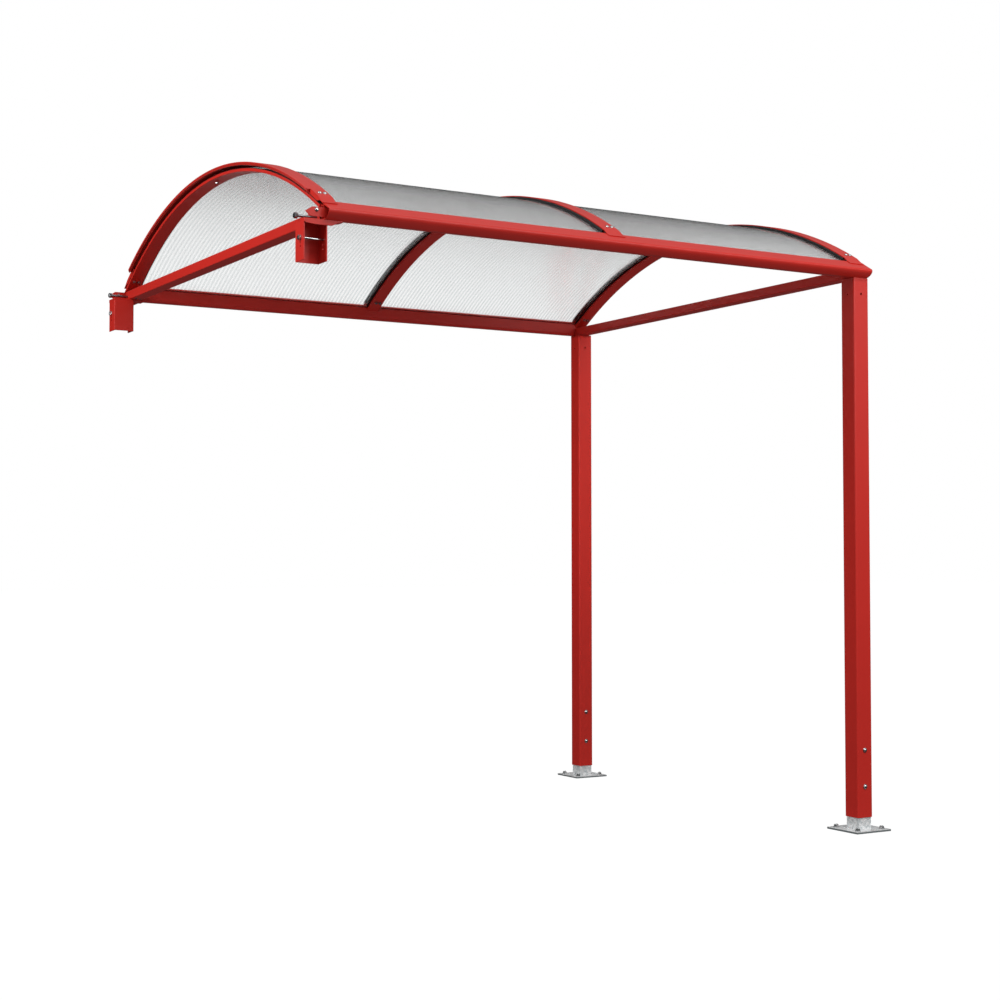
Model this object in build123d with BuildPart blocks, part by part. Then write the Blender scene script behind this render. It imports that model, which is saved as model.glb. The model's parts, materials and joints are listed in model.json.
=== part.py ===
from build123d import *
from math import asin, cos, degrees, radians, sin, sqrt, tan
import os

os.makedirs("parts", exist_ok=True)

# Frame: X along the bay from the coupling end to the posts, Y from the front eaves
# to the back eaves, Z up. Origin under the middle of the front base plate.

# Overall setting out
coupling_pitch = 2505.0
frame_depth = 2120.0
beam_underside = 2320.0
half_depth = frame_depth / 2

# Clearances shared by the pieces
seat_gap = 0.2
slide_gap = 1.0
stub_gap = 0.3
overrun = 20.0

# Posts and feet
post_size = 80.0
post_wall = 4.0
post_corner = 6.0
post_foot_level = 56.0
head_thickness = 10.0
plate_size = 188.0
plate_thickness = 8.0
plate_corner = 4.0
anchor_spacing = 132.0
anchor_radius = 7.0
stub_wall = 4.0
stub_top = 420.0
post_bolt_levels = (184.0, 336.0)
post_bolt_radius = 5.5
head_hole_drop = 68.0
head_hole_radius = 5.0
side_hole_radius = 3.5
head_hole_level = beam_underside - head_hole_drop
post_bore = post_size - 2 * post_wall
stub_size = post_bore - 2 * stub_gap
stub_bore = stub_size - 2 * stub_wall

# Roof circle: the caps' outer arc over the posts, set by its rise above them
eaves_height = 86.0
roof_rise_share = 0.1388
roof_rise = roof_rise_share * frame_depth
cap_outer_radius = (half_depth ** 2 + roof_rise ** 2) / (2 * roof_rise)
roof_centre_level = beam_underside + eaves_height + roof_rise - cap_outer_radius

# Stack inside it: cap strip, upper gasket, sheet, lower gasket and arch tube
cap_thickness = 3.0
cap_flange_depth = 12.7
upper_gasket = 1.8
sheet_thickness = 6.0
lower_gasket = 1.6
arch_height = 12.5
cap_inner_radius = cap_outer_radius - cap_thickness
cap_foot_radius = cap_outer_radius - cap_flange_depth
sheet_outer_radius = cap_foot_radius - upper_gasket
sheet_inner_radius = sheet_outer_radius - sheet_thickness
arch_outer_radius = sheet_inner_radius - lower_gasket
arch_middle_radius = arch_outer_radius - arch_height / 2
upper_gasket_radius = sheet_outer_radius + upper_gasket / 2
lower_gasket_radius = arch_outer_radius + lower_gasket / 2
cap_middle_radius = cap_inner_radius + cap_thickness / 2
sheet_middle_radius = sheet_inner_radius + sheet_thickness / 2

# Arches, caps and sheets along the bay
right_arch_offset = 3.0
left_arch_offset = 55.0
collar_x = -coupling_pitch
right_arch_x = -right_arch_offset
left_arch_x = collar_x + left_arch_offset
middle_arch_x = (left_arch_x + right_arch_x) / 2
arch_width = 60.0
arch_wall = 2.0
cap_width = 75.0
cap_shift = -10.0
cap_flange_wall = 3.0
cap_arc_stop = 8.0
tongue_bend = 14.0
tongue_reach = 32.0
notch_stop = 75.0
gasket_stop = 4.0
sheet_joint = 12.0
sheet_eaves_reach = 16.0
lower_gasket_lip = 9.0
upper_gasket_lip = 8.0
upper_gasket_root = 8.0

# Eaves beams
beam_nose = 72.0
beam_inner_face = 5.0
beam_slope = 31.0
beam_foot_round = 13.0
beam_nose_round = 9.0
beam_wall = 3.0
slot_lip = 6.0
slot_gap = 0.3
slot_depth = 14.0
lip_reach = 7.0
beam_right_end = post_size / 2
beam_coupling_gap = 33.0
beam_left_end = collar_x + beam_coupling_gap
post_cap_thickness = 12.0
post_cap_round = 8.0

# Cross ties
tie_width = 60.0
tie_height = 40.0
tie_wall = 3.0
tie_corner = 4.0

# Coupling collars that hug the posts of the next bay
collar_wall = 4.0
collar_inside = post_size + 2 * slide_gap
collar_outside = collar_inside + 2 * collar_wall
collar_reach = 34.0
collar_drop = 146.0
collar_bottom = beam_underside - collar_drop
collar_round = 3.0
saddle_thickness = 6.0
saddle_apron = 20.0
saddle_heel_reach = 61.0
saddle_tip_reach = 103.0
saddle_heel = collar_x + saddle_heel_reach
saddle_tip = collar_x + saddle_tip_reach
apron_wall = 5.0
apron_rise = 6.0
collar_bolt_drop = 66.0
collar_bolt_level = beam_underside - collar_bolt_drop
collar_bolt_radius = 5.5
collar_hole_drops = (97.5, 83.0)
collar_hole_levels = [beam_underside - drop for drop in collar_hole_drops]
collar_hole_radius = 4.5

# Joint plates that reach into the beams of the next bay
spigot_reach = 76.0
spigot_root = 60.0
spigot_wall = 5.0
spigot_face = 36.0
spigot_foot_rise = 7.0
spigot_tip_rise = 23.0
spigot_top_rise = 40.0
spigot_root_level = beam_underside + beam_wall + seat_gap
spigot_foot_level = beam_underside + spigot_foot_rise
spigot_tip_level = beam_underside + spigot_tip_rise
spigot_top_level = beam_underside + spigot_top_rise
spigot_foot_reach = 58.0
spigot_top_reach = 50.0
spigot_hole_reach = 33.0
spigot_hole_rise = 30.0
spigot_hole_level = beam_underside + spigot_hole_rise
spigot_hole_radius = 4.5

roof_axis = Axis((0, half_depth, roof_centre_level), (-1, 0, 0))
eaves_section = Plane(origin=(0, 0, 0), x_dir=(0, 1, 0), z_dir=(1, 0, 0))


def circle_level(radius, y):
    # height of a roof circle above the given depth
    return roof_centre_level + sqrt(radius ** 2 - (half_depth - y) ** 2)


def lean_at(radius, y):
    # lean of the radius that meets the given depth on the front half
    return degrees(asin((half_depth - y) / radius))


def radial_plane(lean):
    # section plane through the roof axis, leaning to the front
    turn = radians(lean)
    return Plane(
        origin=(0, half_depth, roof_centre_level),
        x_dir=(1, 0, 0),
        z_dir=(0, -cos(turn), -sin(turn)),
    )


def from_front(row, y):
    # depth of a feature given for the front row, mirrored for the back row
    return y if row == 0 else frame_depth - y


def keep(part, name, colour):
    part.label = name
    part.color = Color(colour)
    export_step(part, f"parts/{name}.step")


red = "firebrick"
steel = "lightslategray"
rubber = "black"
clear = "whitesmoke"

lean = radians(beam_slope)
ledge_top = circle_level(sheet_inner_radius - slot_gap, -beam_inner_face)
lip_low = circle_level(sheet_outer_radius + slot_gap, -lip_reach)
lip_top = lip_low + slot_lip / cos(lean)
nose_top = lip_top - (beam_nose - lip_reach) * tan(lean)
heel_top = lip_top + (lip_reach - beam_inner_face) * tan(lean)
slot_low = (beam_inner_face + slot_depth, ledge_top - slot_depth * tan(lean))
slot_rise = sheet_thickness + 3 * slot_gap
slot_high = (slot_low[0] + slot_rise * sin(lean), slot_low[1] + slot_rise * cos(lean))
beam_box_right = beam_right_end - post_cap_thickness

for side, row in (("front", 0.0), ("back", frame_depth)):
    # Galvanised base plate with four anchor holes
    with BuildPart() as base_plate:
        with BuildSketch(Plane((0, row, 0))):
            RectangleRounded(plate_size, plate_size, plate_corner)
            with GridLocations(anchor_spacing, anchor_spacing, 2, 2):
                Circle(anchor_radius, mode=Mode.SUBTRACT)
        extrude(amount=plate_thickness)
    keep(base_plate.part, f"{side}_base_plate", steel)

    # Galvanised stub tube that slides inside the post
    with BuildPart() as stub_tube:
        with BuildSketch(Plane((0, row, plate_thickness))):
            RectangleRounded(stub_size, stub_size, post_corner - post_wall)
            Rectangle(stub_bore, stub_bore, mode=Mode.SUBTRACT)
        extrude(amount=stub_top - plate_thickness)
        with BuildSketch(Plane((0, row, 0), x_dir=(1, 0, 0), z_dir=(0, -1, 0))):
            with Locations([(0, level) for level in post_bolt_levels]):
                Circle(post_bolt_radius)
        extrude(amount=post_size, both=True, mode=Mode.SUBTRACT)
    keep(stub_tube.part, f"{side}_stub_tube", steel)

    # Square tube post with its bolt holes and the holes at its head
    with BuildPart() as post:
        with BuildSketch(Plane((0, row, post_foot_level))):
            RectangleRounded(post_size, post_size, post_corner)
            RectangleRounded(post_bore, post_bore, post_corner - post_wall, mode=Mode.SUBTRACT)
        extrude(amount=beam_underside - head_thickness - post_foot_level)
        with BuildSketch(Plane((0, row, 0), x_dir=(1, 0, 0), z_dir=(0, -1, 0))):
            with Locations([(0, level) for level in post_bolt_levels]):
                Circle(post_bolt_radius)
            with Locations((0, head_hole_level)):
                Circle(head_hole_radius)
        extrude(amount=post_size, both=True, mode=Mode.SUBTRACT)
        with BuildSketch(Plane((0, row, 0), x_dir=(0, -1, 0), z_dir=(-1, 0, 0))):
            with Locations((0, head_hole_level)):
                Circle(side_hole_radius)
        extrude(amount=post_size, mode=Mode.SUBTRACT)
    keep(post.part, f"{side}_post", red)

    # Plate closing the post's head, the seat of the beam and the tie
    with BuildPart() as head_plate:
        with BuildSketch(Plane((0, row, beam_underside - head_thickness))):
            RectangleRounded(post_size, post_size, post_corner)
        extrude(amount=head_thickness)
    keep(head_plate.part, f"{side}_head_plate", red)

    # Eaves beam: flat foot, rounded nose and a sloped top with a slot for the sheet's edge
    outline = [
        (from_front(row, -beam_nose), beam_underside),
        (from_front(row, -beam_inner_face), beam_underside),
        (from_front(row, -beam_inner_face), ledge_top),
        (from_front(row, -slot_low[0]), slot_low[1]),
        (from_front(row, -slot_high[0]), slot_high[1]),
        (from_front(row, -lip_reach), lip_low),
        (from_front(row, -lip_reach), lip_top),
        (from_front(row, -beam_nose), nose_top),
    ]
    with BuildSketch() as beam_face:
        with BuildLine():
            Polyline(*outline, close=True)
        make_face()
        feet = beam_face.vertices().group_by(Axis.Y)[0]
        fillet(feet, beam_foot_round)
        nose = beam_face.vertices().sort_by_distance(outline[-1])[0]
        fillet(nose, beam_nose_round)
    hollow = [
        (from_front(row, -beam_nose + beam_wall), beam_underside + beam_wall),
        (from_front(row, -beam_inner_face - beam_wall), beam_underside + beam_wall),
        (from_front(row, -beam_inner_face - beam_wall), ledge_top - beam_wall / cos(lean) - beam_wall * tan(lean)),
        (from_front(row, -slot_high[0] - beam_wall), slot_low[1] - beam_wall / cos(lean) - beam_wall * tan(lean)),
        (from_front(row, -slot_high[0] - beam_wall), slot_high[1] - beam_wall),
        (from_front(row, -beam_nose + beam_wall), nose_top - beam_wall / cos(lean) + beam_wall * tan(lean)),
    ]
    with BuildSketch() as beam_void:
        with BuildLine():
            Polyline(*hollow, close=True)
        make_face()
        fillet(beam_void.vertices().group_by(Axis.Y)[0], beam_foot_round - beam_wall)
    with BuildPart() as beam:
        with BuildSketch(eaves_section.offset(beam_left_end)):
            add(beam_face.sketch)
            add(beam_void.sketch, mode=Mode.SUBTRACT)
        extrude(amount=beam_box_right - beam_left_end)
    keep(beam.part, f"{side}_beam", red)

    # Rounded cap closing the beam's box and slot over the post; the coupling end stays open
    closed = outline[:2] + [(from_front(row, -beam_inner_face), heel_top), outline[-1]]
    with BuildSketch() as end_face:
        with BuildLine():
            Polyline(*closed, close=True)
        make_face()
        fillet(end_face.vertices().group_by(Axis.Y)[0], beam_foot_round)
        fillet(end_face.vertices().sort_by_distance(outline[-1])[0], beam_nose_round)
    with BuildPart() as post_cap:
        with BuildSketch(eaves_section.offset(beam_box_right)):
            add(end_face.sketch)
        extrude(amount=post_cap_thickness)
        fillet(post_cap.faces().sort_by(Axis.X)[-1].edges(), post_cap_round)
    keep(post_cap.part, f"{side}_beam_cap", red)

    # Collar: a folded channel that opens outwards round the next bay's post
    apron_face = from_front(row, -collar_reach)
    mouth = from_front(row, -collar_reach + apron_wall + seat_gap)
    bight = from_front(row, collar_inside / 2)
    back = from_front(row, collar_inside / 2 + collar_wall)
    collar_top = beam_underside - saddle_thickness
    half_out = collar_outside / 2
    half_in = collar_inside / 2
    with BuildPart() as collar:
        with BuildSketch(Plane.XY.offset(collar_bottom)) as channel:
            with BuildLine():
                Polyline(
                    (collar_x - half_out, mouth),
                    (collar_x - half_out, back),
                    (collar_x + half_out, back),
                    (collar_x + half_out, mouth),
                    (collar_x + half_in, mouth),
                    (collar_x + half_in, bight),
                    (collar_x - half_in, bight),
                    (collar_x - half_in, mouth),
                    close=True,
                )
            make_face()
            fillet(channel.vertices().filter_by_position(Axis.Y, back, back), collar_round)
        extrude(amount=collar_top - collar_bottom)
        with BuildSketch(Plane((collar_x, 0, 0), x_dir=(0, -1, 0), z_dir=(-1, 0, 0))):
            with Locations((-row, collar_bolt_level)):
                Circle(collar_bolt_radius)
            with Locations([(-row, level) for level in collar_hole_levels]):
                Circle(collar_hole_radius)
        extrude(amount=collar_outside, both=True, mode=Mode.SUBTRACT)
    keep(collar.part, f"{side}_collar", red)

    # Saddle over the collar and under the beam's end, with a curved apron in front
    saddle_left = collar_x - half_out
    with BuildPart() as saddle:
        with BuildSketch(Plane.XY.offset(collar_top + seat_gap)):
            with BuildLine():
                Polyline(
                    (saddle_left, apron_face),
                    (saddle_left, back),
                    (saddle_heel, back),
                    (saddle_tip, from_front(row, 0.0)),
                    (saddle_tip, apron_face),
                    close=True,
                )
            make_face()
        extrude(amount=saddle_thickness - 2 * seat_gap)
        with BuildSketch(Plane((0, apron_face, 0), x_dir=(1, 0, 0), z_dir=(0, -1, 0))):
            with BuildLine():
                top_line = beam_underside - seat_gap
                low_line = beam_underside - saddle_apron
                Polyline((saddle_tip, top_line), (saddle_left, top_line), (saddle_left, low_line + apron_rise))
                ThreePointArc(
                    (saddle_left, low_line + apron_rise),
                    ((saddle_left + collar_x) / 2, low_line + apron_rise / 4),
                    (collar_x, low_line),
                )
                Polyline((collar_x, low_line), (saddle_heel, low_line), (saddle_tip, top_line))
            make_face()
        extrude(amount=-apron_wall if row == 0 else apron_wall)
    keep(saddle.part, f"{side}_saddle", red)

    # Joint plate standing out of the beam's open end, its root on the beam's floor
    with BuildPart() as spigot:
        with BuildSketch(Plane((0, from_front(row, -spigot_face), 0), x_dir=(1, 0, 0), z_dir=(0, -1, 0))):
            with BuildLine():
                Polyline(
                    (beam_left_end + spigot_root, spigot_root_level),
                    (beam_left_end, spigot_root_level),
                    (beam_left_end, spigot_foot_level),
                    (beam_left_end - spigot_foot_reach, spigot_foot_level),
                    (beam_left_end - spigot_reach, spigot_tip_level),
                    (beam_left_end - spigot_top_reach, spigot_top_level),
                    (beam_left_end + spigot_root, spigot_top_level),
                    close=True,
                )
            make_face()
            with Locations((beam_left_end - spigot_hole_reach, spigot_hole_level)):
                Circle(spigot_hole_radius, mode=Mode.SUBTRACT)
        extrude(amount=spigot_wall / 2, both=True)
    keep(spigot.part, f"{side}_spigot", red)

# Cross ties between the beams, one over the post heads and one at the coupling end
tie_start = -beam_inner_face + seat_gap
tie_end = frame_depth + beam_inner_face - seat_gap
for end, middle in (("coupling", left_arch_x), ("post", right_arch_x)):
    with BuildPart() as tie:
        tie_plane = Plane((middle, tie_start, beam_underside + tie_height / 2), x_dir=(-1, 0, 0), z_dir=(0, 1, 0))
        with BuildSketch(tie_plane):
            RectangleRounded(tie_width, tie_height, tie_corner)
            Rectangle(tie_width - 2 * tie_wall, tie_height - 2 * tie_wall, mode=Mode.SUBTRACT)
        extrude(amount=tie_end - tie_start)
    keep(tie.part, f"{end}_end_tie", red)

# Arches: rolled flat tube, butted to the inner faces of the beams
foot_lean = lean_at(arch_middle_radius, -beam_inner_face - overrun)
front_cut = Plane((0, -beam_inner_face + seat_gap, 0), x_dir=(1, 0, 0), z_dir=(0, 1, 0))
back_cut = Plane((0, frame_depth + beam_inner_face - seat_gap, 0), x_dir=(1, 0, 0), z_dir=(0, -1, 0))
gasket_lean = lean_at(arch_outer_radius, gasket_stop)
cap_lean = lean_at(cap_outer_radius, cap_arc_stop)
notch_lean = lean_at(cap_outer_radius, notch_stop)
end_turn = radians(cap_lean)
cap_end_top = (half_depth - cap_outer_radius * sin(end_turn), roof_centre_level + cap_outer_radius * cos(end_turn))
cap_end_low = (half_depth - cap_inner_radius * sin(end_turn), roof_centre_level + cap_inner_radius * cos(end_turn))
bend_low = lip_top - (tongue_bend - lip_reach) * tan(lean) + seat_gap
tip_low = lip_top - (tongue_reach - lip_reach) * tan(lean) + seat_gap
tongue_rise = cap_thickness / cos(lean)
tongue_outline = [
    cap_end_top,
    (-tongue_bend, bend_low + tongue_rise),
    (-tongue_reach, tip_low + tongue_rise),
    (-tongue_reach, tip_low),
    (-tongue_bend, bend_low),
    cap_end_low,
]
for place, middle in (("left", left_arch_x), ("middle", middle_arch_x), ("right", right_arch_x)):
    with BuildPart() as arch:
        with BuildSketch(radial_plane(foot_lean)):
            with Locations((middle, arch_middle_radius)):
                Rectangle(arch_width, arch_height)
                Rectangle(arch_width - 2 * arch_wall, arch_height - 2 * arch_wall, mode=Mode.SUBTRACT)
        revolve(axis=roof_axis, revolution_arc=2 * foot_lean)
        split(bisect_by=front_cut, keep=Keep.TOP)
        split(bisect_by=back_cut, keep=Keep.TOP)
    keep(arch.part, f"{place}_arch", red)

    # Bedding strip with a lip on each side that carries a sheet
    sheets = {"left": place != "left", "right": place != "right"}
    left_lip = lower_gasket_lip * sheets["left"]
    right_lip = lower_gasket_lip * sheets["right"]
    with BuildPart() as lower_strip:
        with BuildSketch(radial_plane(gasket_lean)):
            with Locations((middle + (right_lip - left_lip) / 2, lower_gasket_radius)):
                Rectangle(arch_width + left_lip + right_lip, lower_gasket - 2 * seat_gap)
        revolve(axis=roof_axis, revolution_arc=2 * gasket_lean)
    keep(lower_strip.part, f"{place}_lower_gasket", rubber)

    # Pressing strips under the cap's flanges, with a lip over each sheet
    for edge, turn in (("left", -1), ("right", 1)):
        lip = upper_gasket_lip * sheets[edge]
        strip_lean = cap_lean if sheets["left"] or edge == "right" else notch_lean
        strip_x = middle + cap_shift + turn * (cap_width + lip - upper_gasket_root) / 2
        with BuildPart() as upper_strip:
            with BuildSketch(radial_plane(strip_lean)):
                with Locations((strip_x, upper_gasket_radius)):
                    Rectangle(upper_gasket_root + lip, upper_gasket - 2 * seat_gap)
            revolve(axis=roof_axis, revolution_arc=2 * strip_lean)
        keep(upper_strip.part, f"{place}_cap_{edge}_gasket", rubber)

    # Cap strip: a rolled plate with flanges turned down along both edges, and at each
    # end a tongue bent down onto the beam's slope
    cap_left = middle + cap_shift - cap_width / 2
    with BuildPart() as cap_strip:
        with BuildSketch(radial_plane(cap_lean)):
            with Locations((middle + cap_shift, cap_middle_radius)):
                Rectangle(cap_width, cap_thickness)
            with Locations((middle + cap_shift, (cap_foot_radius + cap_inner_radius) / 2)):
                with GridLocations(cap_width - cap_flange_wall, 0, 2, 1):
                    Rectangle(cap_flange_wall, cap_inner_radius - cap_foot_radius)
        revolve(axis=roof_axis, revolution_arc=2 * cap_lean)
        for row in (0.0, frame_depth):
            tongue = [(from_front(row, y), level) for y, level in tongue_outline]
            with BuildSketch(eaves_section.offset(cap_left)):
                with BuildLine():
                    Polyline(*tongue, close=True)
                make_face()
            extrude(amount=cap_width)
        if not sheets["left"]:
            # The coupling end has no sheet outside its arch: flange and plate are notched there
            notch_width = middle - arch_width / 2 - cap_left
            notch_depth = notch_stop + tongue_reach + overrun
            for row in (0.0, frame_depth):
                notch_y = from_front(row, notch_stop - notch_depth / 2)
                with Locations((cap_left + notch_width / 2, notch_y, beam_underside + eaves_height)):
                    Box(notch_width, notch_depth, 2 * eaves_height, mode=Mode.SUBTRACT)
    keep(cap_strip.part, f"{place}_cap_strip", red)

# Roof sheets: one multiwall panel in each half of the bay
sheet_lean = lean_at(sheet_middle_radius, -sheet_eaves_reach)
for place, left, right in (("left", left_arch_x, middle_arch_x), ("right", middle_arch_x, right_arch_x)):
    with BuildPart() as sheet:
        with BuildSketch(radial_plane(sheet_lean)):
            with Locations(((left + right) / 2, sheet_middle_radius)):
                Rectangle(right - left - sheet_joint, sheet_thickness)
        revolve(axis=roof_axis, revolution_arc=2 * sheet_lean)
    keep(sheet.part, f"{place}_roof_sheet", clear)
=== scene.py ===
import json
import bmesh
import bpy
import numpy as np
from mathutils import Matrix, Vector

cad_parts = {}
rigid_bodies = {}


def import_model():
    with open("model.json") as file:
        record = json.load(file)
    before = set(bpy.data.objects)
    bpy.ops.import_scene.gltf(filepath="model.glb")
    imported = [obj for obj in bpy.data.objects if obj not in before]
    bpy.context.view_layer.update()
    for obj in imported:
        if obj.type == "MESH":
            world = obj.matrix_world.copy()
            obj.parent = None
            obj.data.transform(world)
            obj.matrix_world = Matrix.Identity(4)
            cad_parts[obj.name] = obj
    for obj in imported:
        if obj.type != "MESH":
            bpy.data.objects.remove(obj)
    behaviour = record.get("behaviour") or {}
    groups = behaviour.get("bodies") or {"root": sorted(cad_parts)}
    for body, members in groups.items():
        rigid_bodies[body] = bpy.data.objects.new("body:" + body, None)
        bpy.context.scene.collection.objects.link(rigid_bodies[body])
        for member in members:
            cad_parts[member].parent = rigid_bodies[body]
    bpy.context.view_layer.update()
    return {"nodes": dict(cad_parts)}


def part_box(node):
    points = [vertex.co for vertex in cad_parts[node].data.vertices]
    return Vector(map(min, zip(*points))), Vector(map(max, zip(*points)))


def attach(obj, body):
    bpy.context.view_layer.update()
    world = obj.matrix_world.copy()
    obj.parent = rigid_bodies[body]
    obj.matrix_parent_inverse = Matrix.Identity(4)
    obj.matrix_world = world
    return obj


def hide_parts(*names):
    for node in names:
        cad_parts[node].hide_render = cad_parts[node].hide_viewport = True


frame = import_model()
mm = 0.001


# Materials

def linearColour(hexColour):
    # sRGB hex to linear light: each channel c becomes ((c + 0.055) / 1.055) to the power 2.4
    channels = np.array([int(hexColour[i:i + 2], 16) for i in (1, 3, 5)]) / 255.0
    light = np.where(channels <= 0.04045, channels / 12.92, ((channels + 0.055) / 1.055) ** 2.4)
    return (*light.tolist(), 1.0)


def addNode(tree, kind, settings, sockets):
    # one node with its settings; a socket takes a value, or a link from another node's output
    node = tree.nodes.new(kind)
    for name, value in settings.items():
        setattr(node, name, value)
    for name, value in sockets.items():
        if isinstance(value, bpy.types.NodeSocket):
            tree.links.new(value, node.inputs[name])
        else:
            node.inputs[name].default_value = value
    return node


def newMaterial(name):
    material = bpy.data.materials.new(name)
    material.use_nodes = True
    tree = material.node_tree
    tree.nodes.clear()
    place = addNode(tree, "ShaderNodeTexCoord", {}, {}).outputs["Object"]
    return material, tree, place


def closeMaterial(tree, sockets):
    shader = addNode(tree, "ShaderNodeBsdfPrincipled", {}, sockets)
    addNode(tree, "ShaderNodeOutputMaterial", {}, {"Surface": shader.outputs["BSDF"]})


powderCoat = {"colour": "#C2261D", "thin": "#B9231B", "cloud": 140.0, "roughness": 0.4, "specular": 0.31,
              "peelSize": 1.6, "peelHeight": 0.06, "peelDepth": 0.1, "ior": 1.5}


def makePowderCoat(look):
    # polyester powder coat baked on steel: satin red, faintly clouded where the film is thinner, with a
    # fine orange peel in its gloss
    material, tree, place = newMaterial("red polyester powder coat")
    cloud = addNode(tree, "ShaderNodeTexNoise", {}, {"Vector": place, "Scale": 1.0 / (look["cloud"] * mm)})
    film = addNode(tree, "ShaderNodeMix", {"data_type": "RGBA"}, {"Factor": cloud.outputs["Fac"]})
    film.inputs["A"].default_value = linearColour(look["colour"])
    film.inputs["B"].default_value = linearColour(look["thin"])
    peel = addNode(tree, "ShaderNodeTexNoise", {}, {
        "Vector": place, "Scale": 1.0 / (look["peelSize"] * mm), "Detail": 1.0})
    bump = addNode(tree, "ShaderNodeBump", {}, {
        "Strength": look["peelHeight"], "Distance": look["peelDepth"] * mm, "Height": peel.outputs["Fac"]})
    closeMaterial(tree, {
        "Base Color": film.outputs["Result"], "Roughness": look["roughness"], "IOR": look["ior"],
        "Specular IOR Level": look["specular"], "Normal": bump.outputs["Normal"]})
    return material


galvanising = {"bright": "#FFFFFF", "dull": "#C6CCCE", "edge": "#7E8587", "edgeLow": 5.5, "edgeHigh": 7.8,
               "spangle": 9.0, "metallic": 0.3, "roughness": (0.22, 0.36), "relief": 0.05, "reliefDepth": 0.2}


def makeGalvanised(look):
    # hot-dip galvanised steel: pale grey zinc whose spangle crystals differ in shade and gloss, with painted shade
    # on the base plates' edges, which are dark grey below the plates' top face
    material, tree, place = newMaterial("hot-dip galvanised steel")
    spangle = addNode(tree, "ShaderNodeTexVoronoi", {}, {"Vector": place, "Scale": 1.0 / (look["spangle"] * mm)})
    crystal = addNode(tree, "ShaderNodeSeparateColor", {}, {"Color": spangle.outputs["Color"]}).outputs["Red"]
    shade = addNode(tree, "ShaderNodeMix", {"data_type": "RGBA"}, {"Factor": crystal})
    shade.inputs["A"].default_value = linearColour(look["bright"])
    shade.inputs["B"].default_value = linearColour(look["dull"])
    # painted shade: below the base plates' top the zinc is mixed to dark grey, fading back to spangle towards the
    # top
    level = addNode(tree, "ShaderNodeSeparateXYZ", {}, {"Vector": place}).outputs["Z"]
    paintedShadeMask = addNode(tree, "ShaderNodeMapRange", {}, {
        "Value": level, "From Min": look["edgeLow"] * mm, "From Max": look["edgeHigh"] * mm})
    paintedShadeMix = addNode(tree, "ShaderNodeMix", {"data_type": "RGBA"}, {"Factor": paintedShadeMask.outputs["Result"]})
    paintedShadeMix.inputs["A"].default_value = linearColour(look["edge"])
    tree.links.new(shade.outputs["Result"], paintedShadeMix.inputs["B"])
    low, high = look["roughness"]
    gloss = addNode(tree, "ShaderNodeMapRange", {}, {"Value": crystal, "To Min": low, "To Max": high})
    relief = addNode(tree, "ShaderNodeBump", {}, {
        "Strength": look["relief"], "Distance": look["reliefDepth"] * mm,
        "Height": spangle.outputs["Distance"]})
    closeMaterial(tree, {
        "Base Color": paintedShadeMix.outputs["Result"], "Metallic": look["metallic"], "Roughness": gloss.outputs["Result"],
        "Normal": relief.outputs["Normal"]})
    return material


zincLook = {"name": "zinc plated bolt steel", "bright": "#D2D4D4", "dull": "#A3A7A9", "grain": 2.5,
            "roughness": (0.16, 0.34)}
oilLook = {"name": "oiled plain steel", "bright": "#9A9DA0", "dull": "#66696C", "grain": 4.0,
           "roughness": (0.2, 0.4)}


def makeBoltSteel(look):
    # bolt steel: small soft patches of brighter and duller metal, as plating and oil leave them
    material, tree, place = newMaterial(look["name"])
    patch = addNode(tree, "ShaderNodeTexNoise", {}, {
        "Vector": place, "Scale": 1.0 / (look["grain"] * mm), "Detail": 3.0}).outputs["Fac"]
    shade = addNode(tree, "ShaderNodeMix", {"data_type": "RGBA"}, {"Factor": patch})
    shade.inputs["A"].default_value = linearColour(look["bright"])
    shade.inputs["B"].default_value = linearColour(look["dull"])
    low, high = look["roughness"]
    gloss = addNode(tree, "ShaderNodeMapRange", {}, {"Value": patch, "To Min": low, "To Max": high})
    closeMaterial(tree, {
        "Base Color": shade.outputs["Result"], "Metallic": 1.0, "Roughness": gloss.outputs["Result"]})
    return material


rubberLook = {"black": "#0B0B0C", "dusty": "#1B1B1C", "dust": 25.0, "roughness": 0.55, "line": 1.5,
              "lineStrength": 0.15, "lineDepth": 0.1}


def makeRubber(look):
    # EPDM extrusion: matt black with a little dust, and fine die lines along its length
    material, tree, place = newMaterial("EPDM rubber extrusion")
    dust = addNode(tree, "ShaderNodeTexNoise", {}, {
        "Vector": place, "Scale": 1.0 / (look["dust"] * mm), "Detail": 4.0})
    shade = addNode(tree, "ShaderNodeMix", {"data_type": "RGBA"}, {"Factor": dust.outputs["Fac"]})
    shade.inputs["A"].default_value = linearColour(look["black"])
    shade.inputs["B"].default_value = linearColour(look["dusty"])
    across = addNode(tree, "ShaderNodeSeparateXYZ", {}, {"Vector": place}).outputs["X"]
    turns = addNode(tree, "ShaderNodeMath", {"operation": "MULTIPLY"}, {
        0: across, 1: 2 * np.pi / (look["line"] * mm)})
    lines = addNode(tree, "ShaderNodeMath", {"operation": "SINE"}, {0: turns.outputs[0]})
    bump = addNode(tree, "ShaderNodeBump", {}, {
        "Strength": look["lineStrength"], "Distance": look["lineDepth"] * mm, "Height": lines.outputs[0]})
    closeMaterial(tree, {
        "Base Color": shade.outputs["Result"], "Roughness": look["roughness"], "Normal": bump.outputs["Normal"]})
    return material


polycarbonate = {"clear": "#FFFFFF", "rib": "#F0F2F2", "pitch": 18.7, "matt": 0.22, "gloss": 0.13, "ior": 1.3,
                 "transmission": 1.0, "skin": 0.8, "ribStrength": 0.12, "ribDepth": 0.1}


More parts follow.
